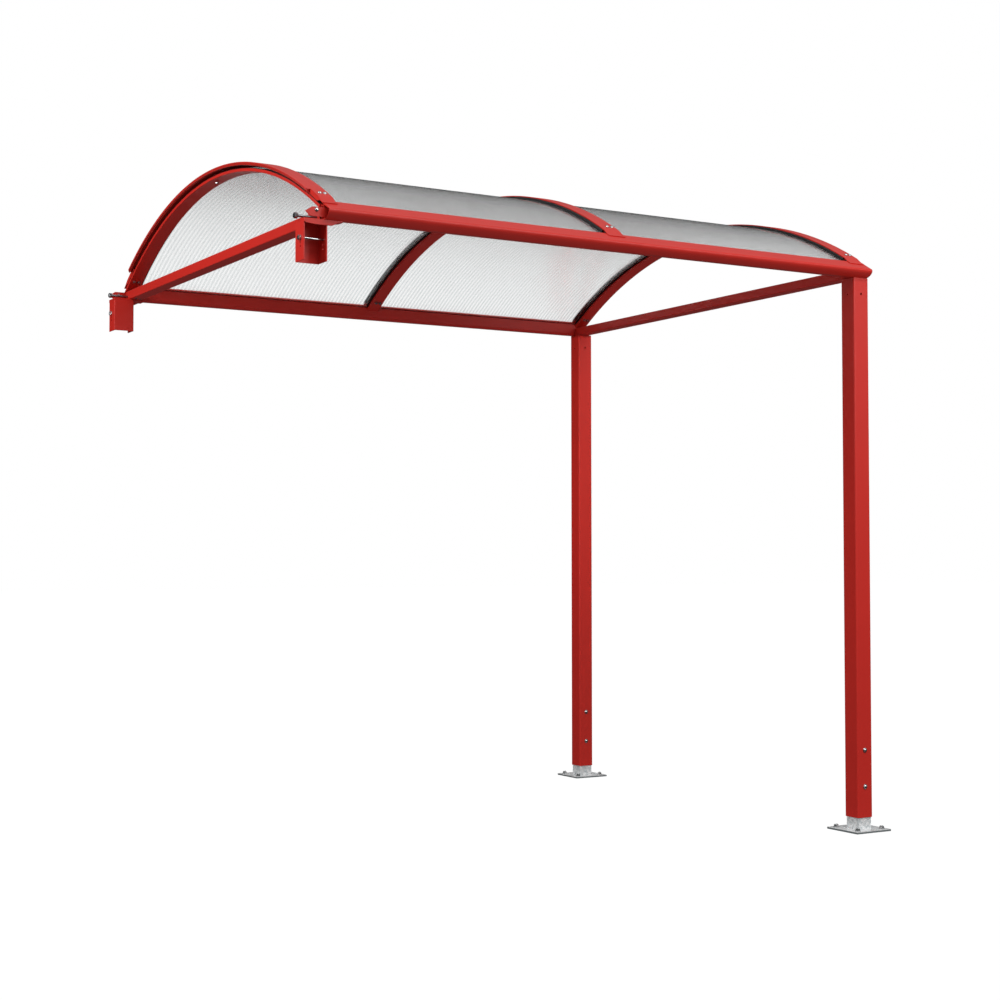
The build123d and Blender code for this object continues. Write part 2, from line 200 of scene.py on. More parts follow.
def makePolycarbonate(look):
    # extruded multiwall polycarbonate: milky and bright face on, darker along its ribs and edge on
    material, tree, place = newMaterial("multiwall polycarbonate")
    across = addNode(tree, "ShaderNodeSeparateXYZ", {}, {"Vector": place}).outputs["X"]
    turns = addNode(tree, "ShaderNodeMath", {"operation": "MULTIPLY"}, {
        0: across, 1: 2 * np.pi / (look["pitch"] * mm)})
    wave = addNode(tree, "ShaderNodeMath", {"operation": "SINE"}, {0: turns.outputs[0]})
    ribs = addNode(tree, "ShaderNodeMapRange", {}, {
        "Value": wave.outputs[0], "From Min": -1.0, "From Max": 1.0})
    shade = addNode(tree, "ShaderNodeMix", {"data_type": "RGBA"}, {"Factor": ribs.outputs["Result"]})
    shade.inputs["A"].default_value = linearColour(look["clear"])
    shade.inputs["B"].default_value = linearColour(look["rib"])
    bump = addNode(tree, "ShaderNodeBump", {}, {   # the skin draws in a little between its ribs
        "Strength": look["ribStrength"], "Distance": look["ribDepth"] * mm, "Height": wave.outputs[0]})
    skin = addNode(tree, "ShaderNodeAttribute", {"attribute_name": "outerSkin"}, {}).outputs["Fac"]
    roughness = addNode(tree, "ShaderNodeMapRange", {}, {   # glossy weather skin, matt inner skin
        "Value": skin, "To Min": look["matt"], "To Max": look["gloss"]})
    closeMaterial(tree, {
        "Base Color": shade.outputs["Result"], "Roughness": roughness.outputs["Result"], "IOR": look["ior"],
        "Transmission Weight": look["transmission"], "Normal": bump.outputs["Normal"]})
    return material


redCoat = makePowderCoat(powderCoat)
zincDip = makeGalvanised(galvanising)
rubber = makeRubber(rubberLook)
zincPlate = makeBoltSteel(zincLook)
oiledSteel = makeBoltSteel(oilLook)
sheetPlastic = makePolycarbonate(polycarbonate)
print("materials ready")


# Mesh helpers

def finishPiece(piece, material, replaced=(), sharp=35.0):
    mesh = piece.data
    mesh.materials.clear()
    mesh.materials.append(material)
    mesh.polygons.foreach_set("use_smooth", np.ones(len(mesh.polygons), bool))
    mesh.set_sharp_from_angle(angle=np.radians(sharp))
    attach(piece, "root")
    if replaced:
        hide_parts(*replaced)
    return piece


def pieceFromArrays(name, points, faces):
    mesh = bpy.data.meshes.new(name)
    mesh.from_pydata(points.tolist(), [], faces)
    mesh.validate()
    piece = bpy.data.objects.new(name, mesh)
    bpy.context.collection.objects.link(piece)
    return piece


def weightNormals(piece):
    piece.modifiers.new("evenFaces", "WEIGHTED_NORMAL").keep_sharp = True


beamFoot = {"setback": 30.0 * mm, "noseReach": 65.0 * mm, "noseTangent": 5.1 * mm, "slope": np.radians(31.0),
            "roundShare": 0.65, "cuts": 9}


def noseLevel(side):
    # where the beam's nose turns into its front face: the lip's level less the slope's fall and the round's
    # tangent
    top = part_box(f"{side}_beam")[1].z
    return top - beamFoot["noseReach"] * np.tan(beamFoot["slope"]) - beamFoot["noseTangent"]


def leanFoot(points, side):
    # below the nose, a point moves inwards by the setback times its eased share of the drop from nose to foot,
    # a parabola over the round and a straight line after it, times its share of the way from inner face to nose
    low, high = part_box(f"{side}_beam")
    nose, inner = (low.y, high.y) if side == "front" else (high.y, low.y)
    level, bend = noseLevel(side), beamFoot["roundShare"]
    drop = np.clip((level - points[:, 2]) / (level - low.z), 0.0, 1.0)
    eased = np.where(drop < bend, drop ** 2 / (2 * bend), drop - bend / 2) / (1 - bend / 2)
    away = np.clip((points[:, 1] - inner) / (nose - inner), 0.0, 1.0)
    moved = points.copy()
    moved[:, 1] += np.sign(inner - nose) * beamFoot["setback"] * eased * away
    return moved


easing = {"merge": 0.005 * mm, "flat": np.radians(0.3), "segments": 2, "hardEdge": np.radians(40.0)}


# A node's own solid, merged, with its flat faces joined and its hard edges eased; a beam's foot is leaned in
def easedCopy(node, name, material, ease, leanedSide=None):
    mesh = frame["nodes"][node].data.copy()
    mesh.name = name
    work = bmesh.new()
    work.from_mesh(mesh)
    bmesh.ops.remove_doubles(work, verts=work.verts, dist=easing["merge"])
    bmesh.ops.dissolve_limit(work, angle_limit=easing["flat"], verts=work.verts, edges=work.edges)
    if leanedSide:   # level cuts give the rounded nose its rows
        top, foot = noseLevel(leanedSide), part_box(f"{leanedSide}_beam")[0].z
        for share in np.linspace(0.0, beamFoot["roundShare"], beamFoot["cuts"]):
            bmesh.ops.bisect_plane(work, geom=work.verts[:] + work.edges[:] + work.faces[:],
                                   plane_co=(0, 0, top - share * (top - foot)), plane_no=(0, 0, 1))
    work.to_mesh(mesh)
    work.free()
    if leanedSide:
        points = np.empty(3 * len(mesh.vertices))
        mesh.vertices.foreach_get("co", points)
        mesh.vertices.foreach_set("co", leanFoot(points.reshape(-1, 3), leanedSide).ravel())
        mesh.update()
    piece = bpy.data.objects.new(name, mesh)
    bpy.context.collection.objects.link(piece)
    finishPiece(piece, material, [node])
    easedEdge = piece.modifiers.new("easedEdge", "BEVEL")
    easedEdge.width = ease * mm
    easedEdge.segments = easing["segments"]
    easedEdge.limit_method = "ANGLE"
    easedEdge.angle_limit = easing["hardEdge"]
    weightNormals(piece)
    return piece


flatPieces = {
    "post": ("red_powder_coat", 0.5), "headPlate": ("red_powder_coat", 0.8), "beam": ("red_powder_coat", 0.5),
    "beamCap": ("red_powder_coat", 0.5), "collar": ("red_powder_coat", 0.6), "saddle": ("red_powder_coat", 0.6),
    "spigot": ("red_powder_coat", 0.6), "basePlate": ("galvanised_steel", 0.8),
    "stubTube": ("galvanised_steel", 0.5)}
cadNames = {"headPlate": "head_plate", "beamCap": "beam_cap", "basePlate": "base_plate", "stubTube": "stub_tube"}
for side in ("front", "back"):
    for form, (slot, ease) in flatPieces.items():
        finish = zincDip if slot == "galvanised_steel" else redCoat
        leanedSide = side if form in ("beam", "beamCap") else None
        name = side + form[0].upper() + form[1:]
        easedCopy(f"{side}_{cadNames.get(form, form)}", name, finish, ease, leanedSide)
for end in ("coupling", "post"):
    easedCopy(f"{end}_end_tie", f"{end}EndTie", redCoat, 0.5)
print("flat pieces dressed")


# Roof circle, worked out as in the solids from the posts' spacing and the beams' underside
def middleOf(node):
    low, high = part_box(node)
    return np.array((low + high) / 2)


frontPost = middleOf("front_post")
backPost = middleOf("back_post")
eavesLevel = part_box("front_beam")[0].z
roof = {"riseShare": 0.1388, "eavesHeight": 86.0 * mm, "segments": 96}
roofDepth = backPost[1] - frontPost[1]
roofRise = roof["riseShare"] * roofDepth
roofRadius = ((roofDepth / 2) ** 2 + roofRise ** 2) / (2 * roofRise)
roofCentre = np.array([0.0, roofDepth / 2, eavesLevel + roof["eavesHeight"] + roofRise - roofRadius])
stack = {"capPlate": 3.0 * mm, "flange": 12.7 * mm, "upperGasket": 1.8 * mm, "sheet": 6.0 * mm,
         "lowerGasket": 1.6 * mm, "arch": 12.5 * mm}
capFoot = roofRadius - stack["flange"]
sheetTop = capFoot - stack["upperGasket"]
sheetUnder = sheetTop - stack["sheet"]
archTop = sheetUnder - stack["lowerGasket"]
archUnder = archTop - stack["arch"]
archPlaces = {place: middleOf(f"{place}_arch")[0] for place in ("left", "middle", "right")}


def leanAt(radius, y):
    # angle from the crown at which a circle of this radius passes over depth y
    return np.arcsin((roofCentre[1] - y) / radius)


def roundedBox(x0, x1, r0, r1, left, right, steps=3):
    # corners of a rectangle in (x, radius), each turned by a quarter circle of its side's radius, or left square
    ease = np.array([right, left, left, right])
    sign = np.array([(1, 1), (-1, 1), (-1, -1), (1, -1)])
    corners = np.array([(x1, r1), (x0, r1), (x0, r0), (x1, r0)])
    angles = np.linspace(0, np.pi / 2, steps)[None, :] + np.arange(4)[:, None] * np.pi / 2
    turned = np.stack([np.cos(angles), np.sin(angles)], -1) * ease[:, None, None]
    points = (corners - sign * ease[:, None])[:, None, :] + turned
    once = (ease[:, None] > 0) | (np.arange(steps) == 0)[None, :]
    return points[once]


def ringFaces(steps, count):
    # quads between each ring of points and the next, and one face on the first and the last ring
    i, j = np.meshgrid(np.arange(steps), np.arange(count), indexing="ij")
    k = (j + 1) % count
    quads = np.stack([i * count + j, i * count + k, (i + 1) * count + k, (i + 1) * count + j], -1)
    ends = [list(range(count))[::-1], list(range(steps * count, (steps + 1) * count))]
    return quads.reshape(-1, 4).tolist() + ends


def sweepOverRoof(profile, lean, segments):
    # a closed (x, radius) profile carried round the roof's axis from -lean to +lean, closed at both ends;
    # lean is one angle, or one for each profile point so that the ends are cut upright
    turn = np.linspace(-1.0, 1.0, segments + 1)[:, None] * np.broadcast_to(lean, len(profile))[None, :]
    x = np.broadcast_to(profile[:, 0], (segments + 1, len(profile)))
    y = roofCentre[1] + profile[None, :, 1] * np.sin(turn)
    z = roofCentre[2] + profile[None, :, 1] * np.cos(turn)
    return np.stack([x, y, z], -1).reshape(-1, 3), ringFaces(segments, len(profile))


def joinShapes(shapes):
    # several (points, faces) shapes as one, each one's indices moved past those before it
    starts = np.cumsum([0] + [len(points) for points, faces in shapes])
    faces = [[int(v) + start for v in face] for start, (points, own) in zip(starts, shapes) for face in own]
    return np.concatenate([points for points, own in shapes]), faces


def turnOutward(piece):
    work = bmesh.new()
    work.from_mesh(piece.data)
    bmesh.ops.recalc_face_normals(work, faces=work.faces)
    work.to_mesh(piece.data)
    work.free()


def roofPiece(name, shapes, material, replaced):
    piece = pieceFromArrays(name, *joinShapes(shapes))
    turnOutward(piece)
    finishPiece(piece, material, replaced)
    weightNormals(piece)
    return piece


strip = {"capWidth": 75.0 * mm, "capShift": -10.0 * mm, "flangeWall": 3.0 * mm, "arcStop": 8.0 * mm,
         "notchStop": 75.0 * mm, "tongueBend": 14.0 * mm, "tongueReach": 32.0 * mm, "slope": beamFoot["slope"],
         "lipReach": 7.0 * mm, "archWidth": 60.0 * mm, "archEnd": -4.8 * mm, "gasketStop": 4.0 * mm,
         "sheetJoint": 12.0 * mm, "sheetReach": 16.0 * mm, "play": 0.2 * mm, "webSlot": 3.0 * mm,
         "webLap": 20.0 * mm, "webRows": 9, "bulbWidth": 7.0 * mm, "bulbRise": 8.5 * mm, "lipSpread": 3.0 * mm,
         "endLip": 3.4 * mm, "tuck": 6.0 * mm, "overlap": 1.0 * mm}
edgeRadius = {"arch": 2.0 * mm, "cap": 1.4 * mm, "wall": 0.6 * mm, "seal": 0.4 * mm, "lip": 0.5 * mm,
              "bulb": 2.0 * mm, "sheet": 0.3 * mm}
segments = roof["segments"]
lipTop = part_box("front_beam")[1].z
capLean = leanAt(roofRadius, strip["arcStop"])


def capStations():
    # the cap's top line from eaves to eaves: an arc of the roof circle, and at each end two points of a
    # straight tongue that lies on the beam's slope; with each goes the direction square to the plate
    turn = np.linspace(-capLean, capLean, segments + 1)
    arcOut = np.stack([np.sin(turn), np.cos(turn)], -1)
    reach = np.array([strip["tongueReach"], strip["tongueBend"]])
    level = lipTop - (reach - strip["lipReach"]) * np.tan(strip["slope"]) + strip["play"]
    frontOut = np.tile([-np.sin(strip["slope"]), np.cos(strip["slope"])], (2, 1))
    front = np.stack([-reach, level], -1) + frontOut * stack["capPlate"]
    back = np.stack([roofDepth - front[::-1, 0], front[::-1, 1]], -1)
    line = np.concatenate([front, roofCentre[1:] + roofRadius * arcOut, back])
    return line, np.concatenate([frontOut, arcOut, frontOut * (-1, 1)])


def carryAlong(profile, line, out):
    # a closed (x, radius) profile set at each point of a line, its depth below the roof circle laid off inwards
    depth = (profile[:, 1] - roofRadius)[None, :, None] * out[:, None, :]
    yz = line[:, None, :] + depth
    x = np.broadcast_to(profile[None, :, :1], (len(line), len(profile), 1))
    return np.concatenate([x, yz], -1).reshape(-1, 3), ringFaces(len(line) - 1, len(profile))


def cheekPlate(x0, x1, end):
    # flat plate that closes the web's foot: from the end of the arc down to the tongue's bend, along the beam's
    # slope to its lip, and back to the web's lower edge; end is -1 at the front and 1 at the back
    out = np.array([np.sin(capLean), np.cos(capLean)]) * (-1, 1)
    fall = (strip["tongueBend"] - strip["lipReach"]) * np.tan(strip["slope"])
    bend = np.array([-strip["tongueBend"], lipTop - fall])
    lip = np.array([-strip["lipReach"], lipTop])
    outline = np.stack([roofCentre[1:] + out * (roofRadius - stack["capPlate"]), bend + (0, strip["play"]),
                        lip + (0, strip["play"]), roofCentre[1:] + out * (archTop + strip["webSlot"])])
    if end > 0:
        outline[:, 0] = roofDepth - outline[:, 0]
    sides = [np.column_stack([np.full(len(outline), x), outline]) for x in (x0, x1)]
    return np.concatenate(sides), ringFaces(1, len(outline))


for place, middle in archPlaces.items():
    half = strip["archWidth"] / 2
    arch = roundedBox(middle - half, middle + half, archUnder, archTop, edgeRadius["arch"], edgeRadius["arch"])
    archLean = leanAt(arch[:, 1], strip["archEnd"])
    roofPiece(f"{place}Arch", [sweepOverRoof(arch, archLean, segments)], redCoat,
              [f"{place}_arch"])

    # plate with a tongue at each end, and the flanges under its edges; the coupling end's cap is notched
    # outside its arch, so there a side strip of the plate stops short with the flange
    capLeft = middle + strip["capShift"] - strip["capWidth"] / 2
    capRight = capLeft + strip["capWidth"]
    plateFoot = roofRadius - stack["capPlate"]
    notched = place == "left"
    plateLeft = middle - half if notched else capLeft
    wall, lapTop = edgeRadius["wall"], plateFoot + strip["overlap"]
    plate = roundedBox(plateLeft, capRight, plateFoot, roofRadius, 0.0 if notched else edgeRadius["cap"],
                       edgeRadius["cap"])
    shapes = [carryAlong(plate, *capStations())]
    leftFlange = roundedBox(capLeft, capLeft + strip["flangeWall"], capFoot, lapTop, wall, wall)
    # the flanges tuck in towards their feet
    leftFlange[:, 0] += strip["tuck"] * (plateFoot - leftFlange[:, 1]) / (plateFoot - capFoot)
    rightFlange = (leftFlange * (-1, 1) + (capLeft + capRight, 0.0))[::-1]
    shapes.append(sweepOverRoof(rightFlange, capLean, segments))
    if notched:
        edge = roundedBox(capLeft, plateLeft, plateFoot, roofRadius, edgeRadius["cap"], 0.0)
        shapes.append(sweepOverRoof(edge, leanAt(edge[:, 1], strip["notchStop"]), segments))
        shapes.append(sweepOverRoof(leftFlange, leanAt(leftFlange[:, 1], strip["notchStop"]), segments))
        # trim web over the arch's face in the notch, with a slot left under it
        webFoot = archTop + strip["webSlot"]
        web = roundedBox(plateLeft, plateLeft + strip["flangeWall"], webFoot, lapTop, wall, wall)
        webLean = leanAt(roofRadius, strip["notchStop"] + strip["webLap"])
        for end in (-1, 1):
            turn = np.linspace(end * webLean, end * capLean, strip["webRows"])
            out = np.stack([np.sin(turn), np.cos(turn)], -1)
            shapes.append(carryAlong(web, roofCentre[1:] + roofRadius * out, out))
            shapes.append(cheekPlate(plateLeft, plateLeft + strip["flangeWall"], end))
            # end wall that closes the channel beside the arch where the flange stops
            wallTurn = end * leanAt(roofRadius, strip["notchStop"] + np.array([strip["flangeWall"], 0.0]))
            wallOut = np.stack([np.sin(wallTurn), np.cos(wallTurn)], -1)
            endWall = roundedBox(capLeft + strip["overlap"], plateLeft + strip["overlap"], capFoot, lapTop,
                                 0.0, 0.0)
            shapes.append(carryAlong(endWall, roofCentre[1:] + roofRadius * wallOut, wallOut))
    else:
        shapes.append(sweepOverRoof(leftFlange, capLean, segments))
    roofPiece(f"{place}CapStrip", shapes, redCoat, [f"{place}_cap_strip"])

    play = strip["play"]
    sealLow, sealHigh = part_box(f"{place}_lower_gasket")
    seal = roundedBox(sealLow.x, sealHigh.x, archTop + play, sheetUnder - play, edgeRadius["seal"],
                      edgeRadius["seal"])
    roofPiece(f"{place}LowerGasket", [sweepOverRoof(seal, leanAt(archTop, strip["gasketStop"]), segments)],
              rubber, [f"{place}_lower_gasket"])
    for side in ("left", "right"):
        lipLow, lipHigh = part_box(f"{place}_cap_{side}_gasket")
        sealing = place != side   # there is no sheet outside the end arches
        spread = strip["lipSpread"] if sealing else 0.0
        lipLeft = lipLow.x - (spread if side == "left" else 0.0)
        lipRight = lipHigh.x + (spread if side == "right" else 0.0)
        if (place, side) == ("left", "left"):
            lipRight = lipLow.x + strip["endLip"]
        lip = roundedBox(lipLeft, lipRight, sheetTop + play, capFoot - play, edgeRadius["lip"], edgeRadius["lip"])
        lipLean = leanAt(capFoot - play, lipLow.y)
        shapes = [sweepOverRoof(lip, lipLean, segments)]
        if sealing:
            # bulb that stands on the lip against the flange's outer face
            outward = -1 if side == "left" else 1
            inner = (capLeft if side == "left" else capRight) - outward * strip["tuck"] / 2
            outer = inner + outward * strip["bulbWidth"]
            bulb = roundedBox(min(inner, outer), max(inner, outer), sheetTop + play, capFoot + strip["bulbRise"],
                              edgeRadius["bulb"], edgeRadius["bulb"])
            shapes.append(sweepOverRoof(bulb, lipLean, segments))
        roofPiece(f"{place}Cap{side.title()}Gasket", shapes, rubber,
                  [f"{place}_cap_{side}_gasket"])

for place, left, right in (("left", "left", "middle"), ("right", "middle", "right")):
    x0 = archPlaces[left] + strip["sheetJoint"] / 2
    x1 = archPlaces[right] - strip["sheetJoint"] / 2
    skin = polycarbonate["skin"] * mm
    walls = [roundedBox(x0, x1, foot, foot + skin, edgeRadius["sheet"], edgeRadius["sheet"])
             for foot in (sheetUnder, sheetTop - skin)]
    sheetLean = leanAt((sheetTop + sheetUnder) / 2, -strip["sheetReach"])
    sheet = roofPiece(f"{place}RoofSheet", [sweepOverRoof(wall, sheetLean, segments) for wall in walls],
                      sheetPlastic, [f"{place}_roof_sheet"])
    outerSkin = np.repeat([0.0, 1.0], len(sheet.data.vertices) // 2)   # the inner skin's points come first
    sheet.data.attributes.new("outerSkin", "FLOAT", "POINT").data.foreach_set("value", outerSkin)
print("roof swept")


# Fasteners

def lathe(profile, sides):
    # an (r, h) profile turned about the h axis in equal steps, its first and last points closed by faces
    profile = np.array(profile)
    angle = np.arange(sides) * 2 * np.pi / sides
    ring = np.stack([np.cos(angle), np.sin(angle)], -1)
    xy = profile[:, None, :1] * ring[None]
    h = np.broadcast_to(profile[:, None, 1:], (len(profile), sides, 1))
    points = np.concatenate([xy, h], -1).reshape(-1, 3)
    return points, ringFaces(len(profile) - 1, sides)


turned = {"roundSides": 28, "rodSides": 24, "domeRows": 7, "washerShares": (0.96, 0.8), "hexShares": (0.88, 0.86),
          "domeShare": 0.93, "rodShares": (0.9, 0.2)}


def washer(radius, thick):
    # flat disc whose upper edge is eased over the last fifth of its thickness
    narrow, upright = turned["washerShares"]
    return lathe([(radius, 0), (radius, thick * upright), (radius * narrow, thick)], turned["roundSides"])


def hexHead(flats, height, base):
    # hexagon prism on a base height, its top edge eased all round
    r = flats / np.sqrt(3)
    narrow, upright = turned["hexShares"]
    return lathe([(r, base), (r, base + height * upright), (r * narrow, base + height)], 6)


def domeHead(radius, height, base):
    # quarter ellipse of this radius and height turned about its axis, with a small flat at the top
    turn = np.linspace(0, np.pi / 2 * turned["domeShare"], turned["domeRows"])
    return lathe(np.stack([radius * np.cos(turn), base + height * np.sin(turn)], -1), turned["roundSides"])


def rod(radius, start, end):
    # cylinder from start to end, chamfered by a fifth of its radius at both ends
    narrow, chamfer = radius * np.array(turned["rodShares"])
    return lathe([(narrow, start), (radius, start + chamfer), (radius, end - chamfer), (narrow, end)],
                 turned["rodSides"])


def placed(shape, spots, axis):
    # a shape made along +Z copied to each spot with its axis turned along the given direction
    axis = np.array(axis, float) / np.linalg.norm(axis)
    side = np.cross((0.0, 1.0, 0.0) if abs(axis[1]) < 0.9 else (1.0, 0.0, 0.0), axis)
    side /= np.linalg.norm(side)
    basis = np.stack([side, np.cross(axis, side), axis])
    return [(shape[0] @ basis + np.array(spot), shape[1]) for spot in spots]


def fastenerPiece(name, shapes, material=zincPlate):
    piece = pieceFromArrays(name, *joinShapes(shapes))
    turnOutward(piece)
    return finishPiece(piece, material, sharp=30.0)


anchor = {"spread": 66.0 * mm, "washer": 12.0 * mm, "thick": 2.5 * mm, "flats": 18.0 * mm, "nut": 8.5 * mm,
          "stud": 6.0 * mm, "top": 13.5 * mm}
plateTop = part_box("front_base_plate")[1].z
spots = [(sx * anchor["spread"], post[1] + sy * anchor["spread"], plateTop)
         for post in (frontPost, backPost) for sx in (-1, 1) for sy in (-1, 1)]
anchorBolt = joinShapes([washer(anchor["washer"], anchor["thick"]),
                         hexHead(anchor["flats"], anchor["nut"], anchor["thick"]),
                         rod(anchor["stud"], 0.0, anchor["top"])])
fastenerPiece("anchorBolts", placed(anchorBolt, spots, (0, 0, 1)))

postBolt = {"levels": (184.0 * mm, 336.0 * mm), "washer": 10.5 * mm, "thick": 1.6 * mm, "dome": 9.0 * mm,
            "head": 6.0 * mm, "flats": 16.0 * mm, "nut": 8.0 * mm}
boltHead = joinShapes([washer(postBolt["washer"], postBolt["thick"]),
                       domeHead(postBolt["dome"], postBolt["head"], postBolt["thick"])])
boltNut = joinShapes([washer(postBolt["washer"], postBolt["thick"]),
                      hexHead(postBolt["flats"], postBolt["nut"], postBolt["thick"])])
shapes = []
for side in ("front", "back"):
    low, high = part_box(f"{side}_post")
    x = (low.x + high.x) / 2
    shapes += placed(boltHead, [(x, low.y, z) for z in postBolt["levels"]], (0, -1, 0))
    shapes += placed(boltNut, [(x, high.y, z) for z in postBolt["levels"]], (0, 1, 0))
fastenerPiece("postBolts", shapes)

capBolt = {"spread": 10.0 * mm, "inset": 37.0 * mm, "washer": 8.0 * mm, "thick": 1.5 * mm, "head": 6.5 * mm,
           "rise": 4.2 * mm, "flats": 13.0 * mm, "nut": 6.5 * mm}
capHead = joinShapes([washer(capBolt["washer"], capBolt["thick"]),
                      domeHead(capBolt["head"], capBolt["rise"], capBolt["thick"])])
capNut = joinShapes([washer(capBolt["washer"], capBolt["thick"]),
                     hexHead(capBolt["flats"], capBolt["nut"], capBolt["thick"])])
shapes = []
for middle in archPlaces.values():
    boltLean = leanAt(roofRadius, capBolt["inset"])
    for turn in (-boltLean, boltLean):
        out = np.array([0.0, np.sin(turn), np.cos(turn)])
        base = roofCentre + np.array([middle, 0.0, 0.0])
        across = [np.array([s * capBolt["spread"], 0.0, 0.0]) for s in (-1, 1)]
        shapes += placed(capHead, [base + out * roofRadius + a for a in across], out)
        shapes += placed(capNut, [base + out * archUnder + a for a in across], -out)
    shapes += placed(capNut, [roofCentre + np.array([middle, 0.0, archUnder])], (0, 0, -1))
fastenerPiece("capStripBolts", shapes)

coupling = {"longRod": 5.3 * mm, "inset": 17.0 * mm, "rise": 13.5 * mm, "reach": 88.0 * mm, "into": 2.0 * mm,
            "crossRod": 4.4 * mm, "drop": 66.0 * mm, "flats": 17.0 * mm, "nut": 7.5 * mm, "washer": 10.5 * mm,
            "thick": 2.0 * mm, "longFlats": 19.0 * mm, "longHead": 13.0 * mm, "headCover": 1.0 * mm}
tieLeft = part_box("coupling_end_tie")[0].x
headFoot = coupling["reach"] - coupling["longHead"]
longBolt = joinShapes([rod(coupling["longRod"], -coupling["into"], coupling["reach"] - coupling["headCover"]),
                       hexHead(coupling["longFlats"], coupling["longHead"], headFoot)])
nut = joinShapes([washer(coupling["washer"], coupling["thick"]),
                  hexHead(coupling["flats"], coupling["nut"], coupling["thick"])])
longBolts, crossBolts = [], []
for side, post, inward in (("front", frontPost, 1), ("back", backPost, -1)):
    low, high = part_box(f"{side}_collar")
    # long bolt out of the tie's side, its head standing off beyond the collar
    spot = (tieLeft, post[1] + inward * coupling["inset"], eavesLevel + coupling["rise"])
    longBolts += placed(longBolt, [spot], (-1, 0, 0))
    # cross bolt through both flanges of the collar
    level = eavesLevel - coupling["drop"]
    outer, inner = (low.x, post[1], level), (high.x, post[1], level)
    crossBolts += placed(rod(coupling["crossRod"], 0.0, high.x - low.x), [inner], (-1, 0, 0))
    crossBolts += placed(nut, [outer], (-1, 0, 0)) + placed(nut, [inner], (1, 0, 0))
fastenerPiece("couplingLongBolts", longBolts, oiledSteel)
fastenerPiece("collarCrossBolts", crossBolts)

joint = {"back": 33.0 * mm, "rise": 30.0 * mm, "head": 8.0 * mm, "height": 5.0 * mm}
shapes = []
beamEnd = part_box("front_beam")[0].x
for side, outward in (("front", -1), ("back", 1)):
    low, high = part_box(f"{side}_spigot")
    face = low.y if side == "front" else high.y
    spot = [(beamEnd - joint["back"], face, eavesLevel + joint["rise"])]
    shapes += placed(domeHead(joint["head"], joint["height"], 0.0), spot, (0, outward, 0))
fastenerPiece("jointPlateBolts", shapes)

# bolt heads under both ends of the coupling end's tie
tieBolt = {"inset": 70.0 * mm, "spread": 11.0 * mm, "stagger": 7.0 * mm, "head": 5.5 * mm, "height": 3.5 * mm}
tieLow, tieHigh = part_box("coupling_end_tie")
tieMiddle = (tieLow.x + tieHigh.x) / 2
spots = [(tieMiddle + s * tieBolt["spread"],
          post[1] + inward * (tieBolt["inset"] - s * tieBolt["stagger"]), tieLow.z)
         for post, inward in ((frontPost, 1), (backPost, -1)) for s in (-1, 1)]
fastenerPiece("tieBolts", placed(domeHead(tieBolt["head"], tieBolt["height"], 0.0), spots, (0, 0, -1)))
print("fasteners placed")


# Stage: pale floor, soft light and the photograph's camera

def makeStudioFloor(look):
    # matt white paper floor, lit from within so that the lamps don't burn it out under the sheets
    material, tree, place = newMaterial("matt white paper")
    closeMaterial(tree, {
        "Base Color": linearColour(look["paper"]), "Roughness": look["roughness"], "Specular IOR Level": 0.0,
        "Emission Color": linearColour(look["colour"]), "Emission Strength": look["glow"]})
    return material


paper = {"colour": "#FFFFFF", "paper": "#2A2A2A", "glow": 1.0, "roughness": 0.9, "size": 60.0, "drop": 0.5 * mm}
corners = np.array([(-1, -1), (1, -1), (1, 1), (-1, 1)]) * paper["size"]
floor = pieceFromArrays("floor", np.column_stack([corners, np.full(4, -paper["drop"])]), [(0, 1, 2, 3)])
floor.data.materials.append(makeStudioFloor(paper))
floor.visible_diffuse = False   # the dark studio under the frame shades its undersides, not the paper
floor.visible_glossy = False

studio = {"colour": "#FFFFFF", "below": 0.36, "sheen": 0.05, "front": 0.26, "behind": 0.02, "overhead": 0.49,
          "turnBand": (-0.2, 0.6), "liftBand": (0.28, 0.72), "horizonBand": (-0.15, 0.0)}
softboxes = {
    "frontBox": {"place": (0.8, -3.6, 3.2), "aim": (0.0, 0.0, 1.6), "size": (3.0, 2.0), "power": 90.0,
                 "spread": 180.0, "glossy": True, "lights": "frameOnly"},
    "leftBox": {"place": (-5.8, 0.5, 3.6), "aim": (-2.0, 1.0, 2.0), "size": (2.5, 1.5), "power": 138.0,
                "spread": 180.0, "glossy": True, "lights": "frameOnly"},
    "topBox": {"place": (-1.2, -4.0, 6.5), "aim": (-1.2, 0.3, 2.4), "size": (4.0, 2.0), "power": 180.0,
               "spread": 180.0, "glossy": True, "lights": "frameOnly"},
    "backPostBox": {"place": (-2.2, -1.2, 1.05), "aim": (0.0, 2.1, 2.1), "size": (0.5, 0.5), "power": 5.8,
                    "spread": 50.0, "glossy": False, "lights": "postOnly"},
    "rearBox": {"place": (3.5, 6.5, 3.8), "aim": (-1.0, 1.0, 1.5), "size": (3.0, 2.0), "power": 300.0,
                "spread": 180.0, "glossy": False, "lights": "frameOnly"}}
scene = bpy.context.scene
scene.view_settings.view_transform = "Standard"
world = bpy.data.worlds.new("studio")
scene.world = world
world.use_nodes = True
sky = world.node_tree
sky.nodes.clear()
direction = addNode(sky, "ShaderNodeTexCoord", {}, {}).outputs["Generated"]
parts = addNode(sky, "ShaderNodeSeparateXYZ", {}, {"Vector": direction}).outputs
height = parts["Z"]
near, far = studio["turnBand"]
around = addNode(sky, "ShaderNodeMapRange", {}, {
    "Value": parts["Y"], "From Min": near, "From Max": far, "To Min": studio["front"], "To Max": studio["behind"]})
near, far = studio["liftBand"]
rising = addNode(sky, "ShaderNodeMapRange", {}, {
    "Value": height, "From Min": near, "From Max": far, "To Min": around.outputs["Result"],
    "To Max": studio["overhead"]})
rays = addNode(sky, "ShaderNodeLightPath", {}, {}).outputs
